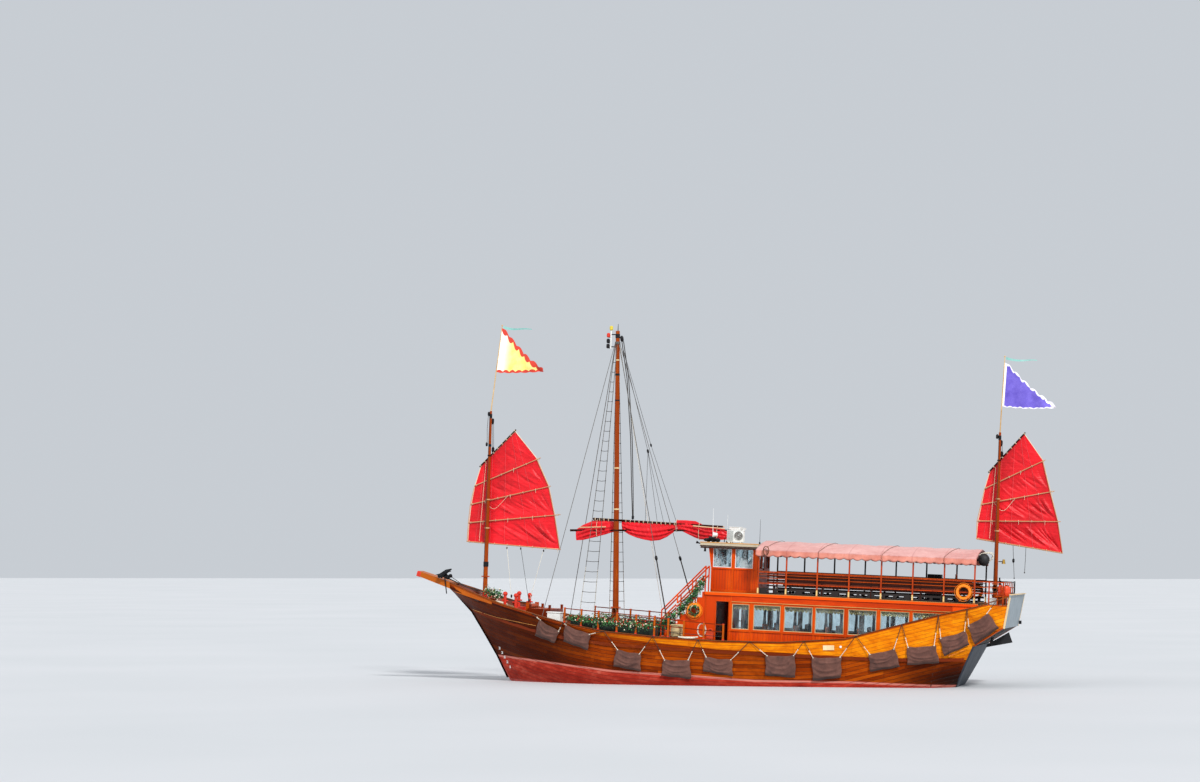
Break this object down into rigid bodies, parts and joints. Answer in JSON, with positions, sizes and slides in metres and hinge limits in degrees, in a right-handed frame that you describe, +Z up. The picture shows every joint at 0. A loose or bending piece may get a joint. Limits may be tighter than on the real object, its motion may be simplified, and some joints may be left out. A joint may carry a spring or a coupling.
{
  "type": "chinese junk ship",
  "caption": "Wooden harbour junk with a motor: high stern, battened lugsails, glazed saloon, raised wheelhouse and an awning over the upper deck; shown afloat.",
  "frame": {"origin": "middle of the waterline's length, on the centreline, at the surface of the water", "axes": "+X aft, +Y starboard, +Z up from the level water; the boat floats bow up by 2.5 degrees"},
  "size_m": [31.4895, 7.2094, 19.8496],
  "materials": {
    "planking": "varnished",
    "varnish": "varnished",
    "band": "varnished",
    "cabin": "varnished",
    "trim": "painted",
    "deckwood": "bare",
    "grey": "painted",
    "black": "painted",
    "mast": "varnished",
    "bamboo": "bare",
    "sailcloth": "matt",
    "awning": "matt",
    "glass": "clear",
    "white": "gloss",
    "ring": "matt",
    "mat": "matt",
    "rope": "matt",
    "red": "painted",
    "bronze": "satin",
    "yellow": "matt",
    "violet": "matt"
  },
  "bodies": {
    "boat": {"hull": "planking", "keel": "planking", "bow_platform": "band", "bulwark": "planking", "rail_cap": "varnish", "wale_port": "varnish", "wale_starboard": "varnish", "transom_upper": "grey", "transom_lower": "grey", "waist_rail_port": "varnish", "waist_rail_starboard": "varnish", "stairs": "cabin", "saloon_wall_port": "cabin", "saloon_wall_starboard": "cabin", "saloon_wall_front": "cabin", "saloon_wall_aft": "cabin", "saloon_bulkhead": "cabin", "saloon_glass_port": "glass", "saloon_glass_starboard": "glass", "upper_deck": "deckwood", "fascia_port": "cabin", "fascia_starboard": "cabin", "wheelhouse_shell": "cabin", "wheelhouse_glass": "glass", "wheelhouse_roof": "trim", "air_conditioner_port": "white", "air_conditioner_starboard": "white", "canopy_frame": "varnish", "canopy": "awning", "bench_port": "deckwood", "bench_starboard": "deckwood", "life_ring_fore": "ring", "life_ring_aft_port": "ring", "life_ring_aft_starboard": "ring", "fender_mats_port": "mat", "fender_mats_starboard": "mat", "anchor": "black", "bitts": "red", "fore_locker": "red", "foremast": "mast", "mainmast": "mast", "mizzenmast": "mast", "fore_flag": "yellow", "mizzen_flag": "violet", "standing_rigging": "rope"},
    "fore_lugsail": {"fore_sail": "sailcloth", "fore_yard": "bamboo", "fore_battens": "bamboo"},
    "mizzen_lugsail": {"mizzen_sail": "sailcloth", "mizzen_yard": "bamboo", "mizzen_battens": "bamboo"},
    "furled_mainsail": {"main_boom": "bamboo", "main_sail": "sailcloth"},
    "propeller": {"propeller": "bronze"},
    "rudder": {"rudder": "black"},
    "stern_rudder": {"stern_rudder": "black"},
    "wheelhouse_door": {"wheelhouse_door": "cabin"}
  },
  "joints": [
    {"name": "foresail_swing", "type": "hinge", "parent": "boat", "child": "fore_lugsail", "pos_m": [-12.34001, 0, 3.93701], "axis": [0.0318, 0, 0.9995], "range_deg": [-75, 75]},
    {"name": "mizzen_swing", "type": "hinge", "parent": "boat", "child": "mizzen_lugsail", "pos_m": [12.59749, 0, 3.79412], "axis": [0.0411, 0, 0.9992], "range_deg": [-75, 75]},
    {"name": "main_boom_swing", "type": "hinge", "parent": "boat", "child": "furled_mainsail", "pos_m": [-5.7068, 0, 2.26108], "axis": [0.0085, 0, 1], "range_deg": [-38, 8]},
    {"name": "propeller_spin", "type": "hinge", "parent": "boat", "child": "propeller", "pos_m": [9.54201, 0, -1.53768], "axis": [0.999, 0, -0.0436], "continuous": true},
    {"name": "rudder_turn", "type": "hinge", "parent": "boat", "child": "rudder", "pos_m": [10.1879, 0, -1.64596], "axis": [0.0436, 0, 0.999], "range_deg": [-35, 35]},
    {"name": "stern_rudder_turn", "type": "hinge", "parent": "boat", "child": "stern_rudder", "pos_m": [12.43167, 0, 2.0597], "axis": [0.2671, 0, 0.9637], "range_deg": [-35, 35]},
    {"name": "wheelhouse_door_hinge", "type": "hinge", "parent": "boat", "child": "wheelhouse_door", "pos_m": [1.59269, -0.364, 4.63494], "axis": [0.0436, 0, 0.999], "range_deg": [-100, 0]}
  ]
}
